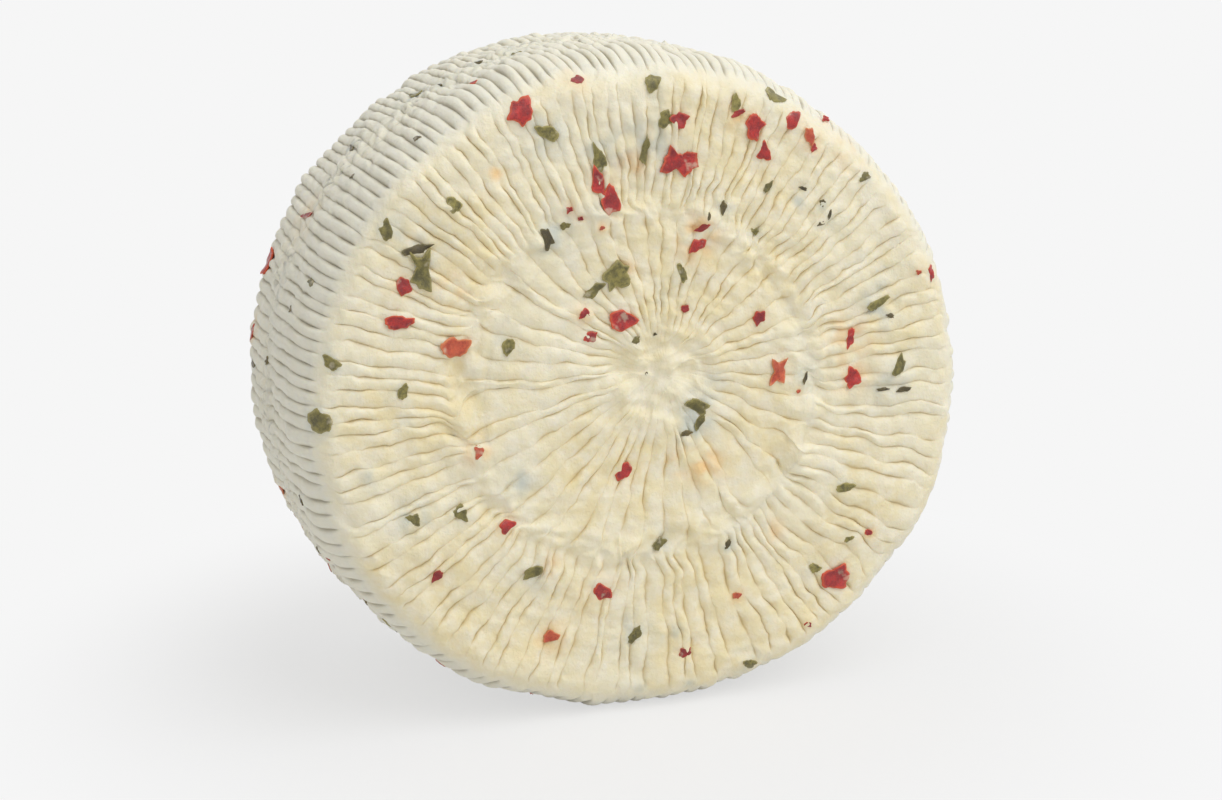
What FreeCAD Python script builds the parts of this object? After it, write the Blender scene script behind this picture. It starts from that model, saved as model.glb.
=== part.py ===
import FreeCAD, Part
import math
import os

# A whole fresh pecorino standing on its rim, in millimetres.
# The wheel's axis is the part's Y axis, its front face looks along -Y and the
# origin is under its middle, on the surface that it stands on.
# The curd was pressed in a slatted basket, so it has ribs all round its side
# and two rings of radial ridges on each face. Its own weight has made it a
# little wider than tall and has pressed a flat into the rim that it stands on.
# Dried pepper and herb chips lie in the rind, each in a recess of its own shape.

SIZES = (
    ("wheel_width", 200.0, "side to side over the rib crests"),
    ("oval_height", 191.0, "top to bottom before the flat is pressed in"),
    ("wheel_thickness", 90.0, "between the two faces, without their ridges"),
    ("flat_depth", 2.2, "height that the flat takes off the oval"),
    ("shoulder_radius", 10.0, "rounding between side and face"),
    ("side_rib_count", 150, "ribs round the side"),
    ("side_rib_depth", 1.0, "crest to crease on the side"),
    ("side_rib_relief", 0.25, "how far the drum stands off the crests before they are cut"),
    ("outer_ridge_count", 100, "ridges in the outer ring of a face"),
    ("inner_ridge_count", 48, "ridges in the inner ring of a face"),
    ("ridge_margin", 0.3, "plain strip between the outer ridges and the shoulder"),
    ("collar_radius", 49.0, "middle of the plain collar between the two rings"),
    ("collar_width", 9.0, "plain collar between the two rings"),
    ("hub_radius", 11.0, "plain middle of the inner ring"),
    ("hub_rise", 4.0, "how far the inner ring sits above the wheel's middle"),
    ("ridge_fill", 0.92, "share of the pitch that a face ridge covers"),
    ("ridge_steepness", 0.36, "height of a face ridge over half its width"),
    ("chip_thickness", 1.8, "thickness of a dried chip"),
    ("chip_stand", 0.3, "how far a chip's top stands over the ridge and rib crests"),
)

# One row for each chip: name, place, length, width, turn and lift in degrees,
# corners and raggedness. A face place is a share of the half width and of the
# half height of the face; a side place is a clock angle from +X towards +Z and
# a share of the half thickness towards the back.
FACE_CHIPS = (
    ("pepper_crown", (-0.37, 0.82), 8.4, 8.0, 20.0, 0.0, 6, 0.28),
    ("pepper_lobed", (0.07, 0.67), 12.4, 9.6, -8.0, 0.0, 10, 0.55),
    ("pepper_high_left", (-0.12, 0.565), 8.8, 7.2, 60.0, 0.0, 6, 0.36),
    ("pepper_over_hub", (-0.095, 0.225), 9.0, 7.0, -35.0, 0.0, 6, 0.32),
    ("pepper_far_left", (-0.71, 0.26), 8.6, 4.6, -4.0, 0.0, 8, 0.22),
    ("pepper_pale", (-0.56, 0.18), 9.2, 6.2, -5.0, 0.0, 7, 0.24),
    ("pepper_right", (0.375, 0.045), 8.0, 7.0, 80.0, 0.0, 8, 0.50),
    ("pepper_low_right", (0.57, -0.61), 9.6, 8.4, 10.0, 0.0, 5, 0.22),
    ("pepper_high_right", (0.29, 0.76), 7.8, 6.6, 70.0, 0.0, 7, 0.30),
    ("herb_large", (-0.64, 0.40), 12.6, 8.2, 70.0, 0.0, 8, 0.50),
    ("herb_over_hub", (-0.105, 0.355), 9.0, 8.6, 15.0, 0.0, 9, 0.34),
)
SIDE_CHIPS = (
    ("pepper_rim", (160.0, 0.60), 9.4, 6.0, 0.0, -14.0, 6, 0.22),
)


def fill_sheet(doc):
    """The driving sizes, one named cell each, with a note beside it."""
    sheet = doc.addObject("Spreadsheet::Sheet", "Sizes")
    for row, (alias, value, note) in enumerate(SIZES, start=1):
        sheet.set(f"A{row}", str(value))
        sheet.setAlias(f"A{row}", alias)
        sheet.set(f"B{row}", note)
    doc.recompute()
    return sheet


def origin_part(body, role):
    """A plane or an axis of the body's own origin."""
    return next(part for part in body.Origin.OriginFeatures if part.Role == role)


def new_sketch(body, name, role):
    sketch = body.newObject("Sketcher::SketchObject", name)
    sketch.AttachmentSupport = [(origin_part(body, role), "")]
    sketch.MapMode = "FlatFace"
    return sketch


def point(x, y):
    return FreeCAD.Vector(x, y, 0)


def closed_lines(points):
    """Straight edges through the points and back to the first."""
    ends = points[1:] + points[:1]
    return [Part.LineSegment(start, end) for start, end in zip(points, ends)]


def checked_cut(doc, cut, base):
    """Builds a cut and makes sure that it took something away."""
    doc.recompute()
    if not cut.Shape.Volume < base.Shape.Volume:
        raise RuntimeError(f"{cut.Label} takes nothing away")
    return cut


def add_drum(doc, body, s):
    """The plain oval drum, standing a little off the rib crests."""
    sketch = new_sketch(body, "OvalOutline", "XZ_Plane")
    half_width = s.wheel_width / 2 + s.side_rib_relief
    half_height = s.oval_height / 2 + s.side_rib_relief
    sketch.addGeometry(Part.Ellipse(point(0, 0), half_width, half_height), False)
    drum = body.newObject("PartDesign::Pad", "Drum")
    drum.Profile = sketch
    drum.SideType = "Symmetric"
    drum.setExpression("Length", "Sizes.wheel_thickness")
    doc.recompute()
    return drum


def add_shoulders(doc, body, drum):
    """The two rims rounded between face and side."""
    rims = [
        f"Edge{number}"
        for number, edge in enumerate(drum.Shape.Edges, start=1)
        if edge.BoundBox.YLength < drum.Shape.BoundBox.YLength / 2
    ]
    shoulders = body.newObject("PartDesign::Fillet", "Shoulders")
    shoulders.Base = (drum, rims)
    shoulders.setExpression("Radius", "Sizes.shoulder_radius")
    return checked_cut(doc, shoulders, drum)


def ridge_rings(s):
    """Both rings of a face: name, ridge count, inner and outer end, and how far
    the ring's middle lies above the wheel's."""
    ring_edge = s.oval_height / 2 + s.side_rib_relief - s.shoulder_radius - s.ridge_margin
    collar_half = s.collar_width / 2
    outer_ends = (s.collar_radius + collar_half, ring_edge)
    inner_ends = (s.hub_radius, s.collar_radius - collar_half)
    return (
        ("OuterRidge", int(s.outer_ridge_count), outer_ends, 0.0),
        ("InnerRidge", int(s.inner_ridge_count), inner_ends, s.hub_rise),
    )


def ridge_spread(s, count):
    """Half a ridge's width over its distance from the middle of its ring."""
    return s.ridge_fill * math.pi / count


def crest_height(s):
    """How far the tallest ridges of a face stand off it."""
    return max(
        ridge_spread(s, count) * s.ridge_steepness * ends[1]
        for _, count, ends, _ in ridge_rings(s)
    )


def add_face_ridges(doc, body, s, name, count, ends, rise):
    """One ring of radial ridges on both faces. A ridge is part of a cone that
    narrows towards the middle, with a ball at each end. The cone's axis lies
    under the face, so that only its rounded crest shows."""
    spread = ridge_spread(s, count)
    roundness = spread * (1 + s.ridge_steepness**2) / (2 * s.ridge_steepness)
    sunk = roundness - spread * s.ridge_steepness
    inner_end, outer_end = ends
    near_radius = inner_end / (1 - spread)
    far_radius = outer_end / (1 + spread)
    front = -s.wheel_thickness / 2

    near = point(front + sunk * near_radius, rise + near_radius)
    far = point(front + sunk * far_radius, rise + far_radius)
    near_ball = roundness * near_radius
    far_ball = roundness * far_radius
    along = (far - near).normalize()
    out = point(-along.y, along.x)
    taper = (far_ball - near_ball) / (far - near).Length
    tangent = out * math.sqrt(1 - taper**2) - along * taper
    near_tip = near - along * near_ball
    near_bend = near + (out - along).normalize() * near_ball
    near_crest = near + tangent * near_ball
    far_crest = far + tangent * far_ball
    far_bend = far + (out + along).normalize() * far_ball
    far_tip = far + along * far_ball

    sketch = new_sketch(body, f"{name}Profile", "YZ_Plane")
    profile = [
        Part.Arc(near_tip, near_bend, near_crest),
        Part.LineSegment(near_crest, far_crest),
        Part.Arc(far_crest, far_bend, far_tip),
        Part.LineSegment(far_tip, near_tip),
    ]
    sketch.addGeometry(profile, False)
    ridge = body.newObject("PartDesign::Revolution", name)
    ridge.Profile = sketch
    ridge.ReferenceAxis = (sketch, [f"Edge{len(profile)}"])
    ridge.Midplane = True
    just_under_face = 2.0
    ridge.Angle = 2 * (math.degrees(math.asin(spread / roundness)) + just_under_face)
    doc.recompute()

    centre = new_sketch(body, f"{name}Centre", "XZ_Plane")
    centre.AttachmentOffset = FreeCAD.Placement(point(0, rise), FreeCAD.Rotation())
    rings = body.newObject("PartDesign::MultiTransform", f"{name}Rings")
    rings.Originals = [ridge]
    on_back = body.newObject("PartDesign::Mirrored", f"{name}OnBack")
    on_back.MirrorPlane = (origin_part(body, "XZ_Plane"), [""])
    all_round = body.newObject("PartDesign::PolarPattern", f"{name}AllRound")
    all_round.Axis = (centre, ["N_Axis"])
    all_round.Angle = 360
    all_round.Occurrences = count
    rings.Transformations = [on_back, all_round]
    rings.Refine = False
    body.Tip = rings
    doc.recompute()
    return rings


def on_oval(s, turn, depth):
    """A point of the rim at this turn, so far in from the rib crests."""
    half_width = s.wheel_width / 2 - depth
    half_height = s.oval_height / 2 - depth
    return point(half_width * math.cos(turn), half_height * math.sin(turn))


def add_side_ribs(doc, body, s, base):
    """All that lies outside a scalloped outline is cut off. Each rib is a round
    arc from crease to crease and runs out where the shoulder falls below it."""
    count = int(s.side_rib_count)
    step = 2 * math.pi / count
    ribs = []
    for rib in range(count):
        left = on_oval(s, (rib - 0.5) * step, s.side_rib_depth)
        crest = on_oval(s, rib * step, 0.0)
        right = on_oval(s, (rib + 0.5) * step, s.side_rib_depth)
        ribs.append(Part.Arc(left, crest, right))
    clear_radius = 1.1 * max(s.wheel_width, s.oval_height) / 2
    clear = Part.Circle(point(0, 0), FreeCAD.Vector(0, 0, 1), clear_radius)
    sketch = new_sketch(body, "RibOutline", "XZ_Plane")
    sketch.addGeometry(ribs + [clear], False)
    cut = body.newObject("PartDesign::Pocket", "SideRibs")
    cut.Profile = sketch
    cut.SideType = "Symmetric"
    cut.setExpression("Length", "Sizes.wheel_thickness * 1.1")
    cut.Refine = False
    return checked_cut(doc, cut, base)


def add_flat(doc, body, s, base):
    """The part of the rim that the wheel's own weight has pressed level."""
    top = s.flat_depth - s.oval_height / 2
    bottom = top - s.flat_depth - s.side_rib_relief - 1
    side = s.wheel_width / 2
    corners = [point(-side, bottom), point(side, bottom), point(side, top), point(-side, top)]
    sketch = new_sketch(body, "FlatOutline", "XZ_Plane")
    sketch.addGeometry(closed_lines(corners), False)
    cut = body.newObject("PartDesign::Pocket", "Flat")
    cut.Profile = sketch
    cut.SideType = "Symmetric"
    cut.setExpression("Length", "Sizes.wheel_thickness * 1.1")
    cut.Refine = False
    return checked_cut(doc, cut, base)


def build_wheel(doc, s):
    """The cheese itself, before its recesses."""
    body = doc.addObject("PartDesign::Body", "Cheese")
    drum = add_drum(doc, body, s)
    rounded = add_shoulders(doc, body, drum)
    ridged = rounded
    for ring in ridge_rings(s):
        smooth_volume = ridged.Shape.Volume
        ridged = add_face_ridges(doc, body, s, *ring)
        if not ridged.Shape.Volume > smooth_volume:
            raise RuntimeError(f"{ridged.Label} adds nothing")
    ribbed = add_side_ribs(doc, body, s, ridged)
    add_flat(doc, body, s, ribbed)
    body.setExpression(
        "Placement.Base.z", "Sizes.oval_height / 2 - Sizes.flat_depth"
    )
    doc.recompute()
    return body


def chip_outline(length, width, corners, ragged):
    """An irregular chip. Every corner is drawn in by its own share of the
    raggedness, so that no two sides are alike, and the whole is then stretched
    to the chip's length and width."""
    rough = []
    for corner in range(corners):
        turn = 2 * math.pi * corner / corners + ragged * math.sin(5.0 * corner)
        reach = 1 - ragged * (1 + math.cos(3.7 * corner)) / 2
        rough.append((reach * math.cos(turn), reach * math.sin(turn)))
    xs, ys = zip(*rough)
    stretch_x = length / (max(xs) - min(xs))
    stretch_y = width / (max(ys) - min(ys))
    middle_x = (max(xs) + min(xs)) / 2
    middle_y = (max(ys) + min(ys)) / 2
    return [point((x - middle_x) * stretch_x, (y - middle_y) * stretch_y) for x, y in rough]


def build_chip(doc, row, seat, outwards, clockwards):
    """A dried chip lying on the rind at this seat. The chip's length starts
    along the clockward direction and turns about the outward one."""
    name, _, length, width, turn, lift, corners, ragged = row
    body = doc.addObject("PartDesign::Body", name)
    body.Label = name
    sketch = new_sketch(body, f"{name}_outline", "XY_Plane")
    sketch.addGeometry(closed_lines(chip_outline(length, width, corners, ragged)), False)
    pad = body.newObject("PartDesign::Pad", f"{name}_pad")
    pad.Profile = sketch
    pad.setExpression("Length", "Sizes.chip_thickness")
    across = outwards.cross(clockwards)
    lie = FreeCAD.Rotation(clockwards, across, outwards, "ZXY")
    turned = lie * FreeCAD.Rotation(FreeCAD.Vector(0, 0, 1), turn)
    lifted = turned * FreeCAD.Rotation(FreeCAD.Vector(1, 0, 0), lift)
    body.Placement = FreeCAD.Placement(seat, lifted)
    doc.recompute()
    return body


def lifted_by(row):
    """How far a tilted chip is raised, so that its low edge stays at the crests."""
    width, lift = row[3], row[5]
    return width / 2 * abs(math.sin(math.radians(lift)))


def build_face_chips(doc, s):
    """The chips of the front face, sunk so that their tops stand just over it."""
    centre_height = s.oval_height / 2 - s.flat_depth
    outwards = FreeCAD.Vector(0, -1, 0)
    clockwards = FreeCAD.Vector(1, 0, 0)
    seat_depth = s.chip_thickness - s.chip_stand - crest_height(s) - s.wheel_thickness / 2
    chips = []
    for row in FACE_CHIPS:
        share_x, share_z = row[1]
        x = share_x * s.wheel_width / 2
        y = seat_depth - lifted_by(row)
        z = share_z * s.oval_height / 2 + centre_height
        chips.append(build_chip(doc, row, FreeCAD.Vector(x, y, z), outwards, clockwards))
    return chips


def build_side_chips(doc, s):
    """The chips in the ribbed side."""
    centre_height = s.oval_height / 2 - s.flat_depth
    chips = []
    for row in SIDE_CHIPS:
        clock_angle, share_y = row[1]
        turn = math.radians(clock_angle)
        rim = on_oval(s, turn, s.chip_thickness - s.chip_stand - lifted_by(row))
        y = share_y * s.wheel_thickness / 2
        seat = FreeCAD.Vector(rim.x, y, rim.y + centre_height)
        outwards = FreeCAD.Vector(math.cos(turn), 0, math.sin(turn))
        clockwards = FreeCAD.Vector(-math.sin(turn), 0, math.cos(turn))
        chips.append(build_chip(doc, row, seat, outwards, clockwards))
    return chips


def seat_chips(doc, cheese, chips):
    """The wheel with a recess of each chip's own shape."""
    tools = doc.addObject("Part::Compound", "ChipShapes")
    tools.Links = chips
    wheel = doc.addObject("Part::Cut", "Wheel")
    wheel.Label = "wheel"
    wheel.Base = cheese
    wheel.Tool = tools
    return checked_cut(doc, wheel, cheese)


def check(doc, pieces):
    """Stops if any feature failed or any piece isn't one sound solid."""
    for thing in doc.Objects:
        if "Invalid" in thing.State or "Error" in thing.State:
            raise RuntimeError(f"{thing.Label} failed: {thing.State}")
    for piece in pieces:
        shape = piece.Shape
        if shape.isNull() or not shape.isValid() or len(shape.Solids) != 1:
            raise RuntimeError(f"{piece.Label} isn't one valid solid")


def main():
    doc = FreeCAD.newDocument("FreshPecorino")
    sizes = fill_sheet(doc)
    cheese = build_wheel(doc, sizes)
    chips = build_face_chips(doc, sizes) + build_side_chips(doc, sizes)
    pieces = [seat_chips(doc, cheese, chips)] + chips
    check(doc, pieces)
    os.makedirs("parts", exist_ok=True)
    for piece in pieces:
        piece.Shape.exportStep(os.path.join("parts", f"{piece.Label}.step"))
        print(f"{piece.Label}: {piece.Shape.Volume / 1000:.2f} cm3")


main()
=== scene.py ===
"""Fresh pecorino wheel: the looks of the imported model, laid out as an add-on and run as a script.

Lengths inside the functions are millimetres, angles are radians. The wheel's axis lies along Y,
its front face looks towards -Y, and a clock angle runs from +X over the top (+Z) to -X.
"""

import functools

import bpy
import numpy as np
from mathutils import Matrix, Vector


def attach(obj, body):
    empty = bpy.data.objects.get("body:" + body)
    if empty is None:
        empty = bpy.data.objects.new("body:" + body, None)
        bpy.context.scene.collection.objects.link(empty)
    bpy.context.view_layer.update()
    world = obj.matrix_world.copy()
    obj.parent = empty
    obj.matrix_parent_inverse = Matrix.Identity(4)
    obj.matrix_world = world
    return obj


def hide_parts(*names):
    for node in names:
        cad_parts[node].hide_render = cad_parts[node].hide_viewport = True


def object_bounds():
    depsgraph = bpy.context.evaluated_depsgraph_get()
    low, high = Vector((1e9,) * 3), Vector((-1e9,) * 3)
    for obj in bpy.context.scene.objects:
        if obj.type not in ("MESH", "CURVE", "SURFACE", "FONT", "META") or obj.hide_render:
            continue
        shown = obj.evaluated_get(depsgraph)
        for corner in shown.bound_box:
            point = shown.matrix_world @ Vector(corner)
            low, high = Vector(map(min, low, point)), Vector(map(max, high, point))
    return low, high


bl_info = {
    "name": "Fresh pecorino wheel",
    "version": (1, 0, 0),
    "blender": (4, 5, 0),
    "location": "3D View > Sidebar > Pecorino",
    "description": "Builds the basket-moulded rind, the dried chips and the stage",
    "category": "Add Mesh",
}

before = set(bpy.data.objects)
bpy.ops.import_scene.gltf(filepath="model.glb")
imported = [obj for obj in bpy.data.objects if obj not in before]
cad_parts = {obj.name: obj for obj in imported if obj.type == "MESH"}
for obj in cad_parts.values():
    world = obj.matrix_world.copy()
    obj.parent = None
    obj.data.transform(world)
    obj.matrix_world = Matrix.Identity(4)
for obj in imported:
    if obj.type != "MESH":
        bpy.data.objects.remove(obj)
CAD_LOW, CAD_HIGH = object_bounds()

MM = 0.001
ROOT = "root"
HALF_WIDTH = (CAD_HIGH.x - CAD_LOW.x) / 2 / MM
HALF_HEIGHT = (CAD_HIGH.z - CAD_LOW.z) / 2 / MM
PLATES_MIDDLE = HALF_HEIGHT - 1.1  # the height about which the chips' plates are read

# the grid: columns round the clock, rows from the front's pole to the back's, and the first and
# the last row of each of the rind's pieces
COLUMNS = 1200
FACE_ROWS = 140
SHOULDER_ROWS = 24
SIDE_ROWS = 76
ZONES = {
    "rind_front_middle": (0, 76),
    "rind_front_ring": (76, 152),
    "rind_side_front": (152, 201),
    "rind_side_back": (201, 251),
    "rind_back_ring": (251, 327),
    "rind_back_middle": (327, 402),
}

# rings of ridges: how many, and how unevenly they stand, as a share of the pitch
RINGS = {"outer": (120, 0.27), "inner": (48, 0.28), "side": (150, 0.12)}
CROWDING = 0.20
CROWDED_CLOCK = np.radians(110)

# in mm: where the faces' two rings meet and where they end, the shoulder's reach inwards and along
# the axis, the torn band's depth behind the front, and the radius at which the side is unrolled
COLLAR = 50
RIM = 89.0
SHOULDER_IN = 10.0
SHOULDER_DEEP = 16.5
BAND_DEPTH = 43
SIDE_REACH = 97

CHIP_SHARE = 0.92  # of the size of a chip's plate
CHIP_THICKNESS = 0.9
CHIP_LIFT = 0.16
CHIP_CURL = 0.5
CHIP_GRID = (96, 12)  # points round a skin, rings over its top
FLAKE_GRID = (30, 6)

FLAKES_REACH = 92  # how far from the middle flakes and stains are strewn at random
STAINS_REACH = 88
STAINS = 22  # stains on each face that belong to no flake


# ---- noise and easing


def ease(low, high, x):
    """Smooth step: 3t^2 - 2t^3, where t is x's share of the way from low to high, kept in 0..1."""
    t = np.clip((x - low) / (high - low), 0, 1)
    return t * t * (3 - 2 * t)


def hump(x, middle, width):
    """Bell: e to the minus square of the distance from the middle, in widths."""
    return np.exp(-(((x - middle) / width) ** 2))


def clock_hump(angle, middle, width):
    """Bell round the clock: the distance is the shorter way round, in degrees, as is the width."""
    return hump((np.degrees(angle) - middle + 180) % 360 - 180, 0, width)


def waves(points, size, seed, count=22):
    """Smooth noise of about unit spread: the sum of sines of (direction . point + phase), where
    each direction is random and its wave is near the size given."""
    rng = np.random.default_rng(seed)
    directions = rng.normal(size=(count, 3))
    directions /= np.linalg.norm(directions, axis=1)[:, None]
    directions *= (2 * np.pi / size * rng.uniform(0.6, 1.5, count))[:, None]
    total = np.zeros(points.shape[:-1])
    for direction, phase in zip(directions, rng.uniform(0, 2 * np.pi, count)):
        total += np.sin(points @ direction + phase)
    return total / np.sqrt(count / 2)


def strands(along, count, size, seed, count_waves=5):
    """One smooth random line for each of the ridges: a sum of sines of the way along, whose
    frequencies and phases are the ridge's own. Gives rows by ridges."""
    rng = np.random.default_rng(seed)
    rates = 2 * np.pi / size * rng.uniform(0.4, 1.6, (count_waves, count))
    phases = rng.uniform(0, 2 * np.pi, (count_waves, count))
    total = np.zeros((len(along), count))
    for rate, phase in zip(rates, phases):
        total += np.sin(along[:, None] * rate + phase)
    return total / np.sqrt(count_waves / 2)


# ---- the wheel's surface


def crowded(angle):
    """Crowds clock angles towards one of them: the angle less a share of the sine of its
    distance."""
    return angle - CROWDING * np.sin(angle - CROWDED_CLOCK)


def ridge_angles(count, unevenness, seed):
    """Clock angle of every grid column for a ring of ridges, with each column's share of the way
    over its ridge and the ridge's number. The creases stand at even steps moved by a random share
    of the pitch, the columns between two creases crowd towards both, and crowded() crowds the
    whole ring."""
    rng = np.random.default_rng(seed)
    crease = (np.arange(count + 1) + unevenness * rng.uniform(-1, 1, count + 1)) / count
    crease[-1] = crease[0] + 1
    per_ridge = COLUMNS // count
    column = np.arange(COLUMNS)
    ridge = column // per_ridge
    share = (column % per_ridge) / per_ridge
    share = share - 0.085 * np.sin(2 * np.pi * share)
    angle = 2 * np.pi * (crease[ridge] * (1 - share) + crease[ridge + 1] * share)
    return crowded(angle), share, ridge


def outline_radius(angle, radius):
    """The slumped oval: the radius times 1 plus second and third harmonics of the clock angle."""
    return radius * (
        1
        + 0.023 * np.cos(2 * angle)
        - 0.011 * np.sin(2 * angle)
        + 0.003 * np.cos(3 * angle)
        - 0.010 * np.sin(3 * angle)
    )


def wheel_rows():
    """Each row's place on the meridian: its share of the face's radius, its turn round the
    shoulder (0 on the face, a quarter turn on the side) and its place along the axis (-1 on the
    front and its shoulder, 1 on the back and its shoulder, and between them on the side)."""
    face = np.linspace(0, 1, FACE_ROWS)
    quarter = np.linspace(0, np.pi / 2, SHOULDER_ROWS + 1)[1:]
    along = np.linspace(-1, 1, SIDE_ROWS + 1)[1:-1]
    half = np.concatenate([face, np.ones(SHOULDER_ROWS)])
    turn = np.concatenate([np.zeros(FACE_ROWS), quarter])
    side = np.ones(len(along))
    return (
        np.concatenate([half, side, half[::-1]]),
        np.concatenate([turn, side * np.pi / 2, turn[::-1]]),
        np.concatenate([-np.ones(len(half)), along, np.ones(len(half))]),
    )


def crown(share, power):
    """A ridge's section: the sine of half a turn across it, raised to a power. A low power gives a
    broad soft crown between narrow creases."""
    return np.sin(np.pi * np.clip(share, 0, 1)) ** power


def ridge_relief(share, ridge, way, size, power, evenness, rise, seed):
    """Height of one ring of ridges, in shares of its depth: each crease is cut by its own changing
    depth, which is the evenness and the rest at random, and each crown rises or sinks by its
    ridge's own line. The lines run the given way and change over the size given. Gives the height
    and the cut."""
    count = ridge[-1] + 1
    depths, rises = (strands(way, count, size, seed + 31 * k + count) for k in (1, 2))
    nearest = np.round(np.arange(COLUMNS) / (COLUMNS // count)).astype(int) % count
    cut = np.clip(evenness + (1 - evenness) * 1.3 * depths[:, nearest], 0.5 * evenness, 1.15)
    arch = crown(share[None, :], power)
    return cut * (arch - 1) + rise * rises[:, ridge] * arch, cut


def smooth_wheel(angle, share, turn, along, radius, half):
    """The smooth slumped wheel: flat faces, a quarter of an ellipse round each shoulder, larger at
    the top, and a side that swells by 1 mm in its middle. Gives every point's distance from the
    axis and place along it, and how far its unit normal points away from the axis and along it."""
    in_radial = SHOULDER_IN + 2.6 * clock_hump(angle, 93, 24) - 1.8 * clock_hump(angle, 140, 15)
    in_axial = SHOULDER_DEEP + 2.5 * clock_hump(angle, 90, 40)
    axial = along * (half - in_axial * (1 - np.cos(turn)))
    radial = (outline_radius(angle, radius) - in_radial) * share + in_radial * np.sin(turn)
    radial = radial + 1.0 * np.sin(turn) * (1 - (axial / half) ** 2)
    normal_r = np.sin(turn) / in_radial
    normal_y = along * np.cos(turn) / in_axial
    length = np.hypot(normal_r, normal_y)
    return radial, axial, normal_r / length, normal_y / length


def rind_lumps(base, torn, approach, collar, on_face, seed):
    """Unevenness of the rind in shares of its depth: waves of four sizes everywhere, larger ones
    and gristle at the collar and the hub, and gristle and cracks where it is torn. Gives a mark
    too, for painted shade in the cracks and a darker tone on the gristle's crests."""
    broad = waves(base, 34, seed + 7)
    middling = waves(base, 11, seed + 8)
    small = waves(base, 4.2, seed + 9)
    gristle = 1 - 2 * np.abs(np.tanh(waves(base, 7, seed + 10)))
    cracks = hump(waves(base, 7, seed + 13), 0, 0.17) * ease(-0.2, 0.6, waves(base, 9, seed + 15))
    fine = waves(base, 2.6, seed + 14)
    at_collar = hump(approach, collar - 1, 5.5) * on_face
    at_hub = (1 - ease(8, 20, approach)) * on_face
    lump = 0.42 * broad + 0.18 * middling + 0.085 * small + 0.04 * fine
    lump = lump + (0.42 * middling + 0.30 * gristle + 0.10 * small) * at_collar
    lump = lump + (0.55 * middling + 0.30 * gristle + 0.12 * small) * at_hub
    lump = lump + torn * (0.44 * gristle - 0.85 * cracks + 0.26 * small + 0.12 * fine)
    return lump, torn * (1.1 * cracks + 0.35 * ease(0.4, 1.0, gristle))


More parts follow.
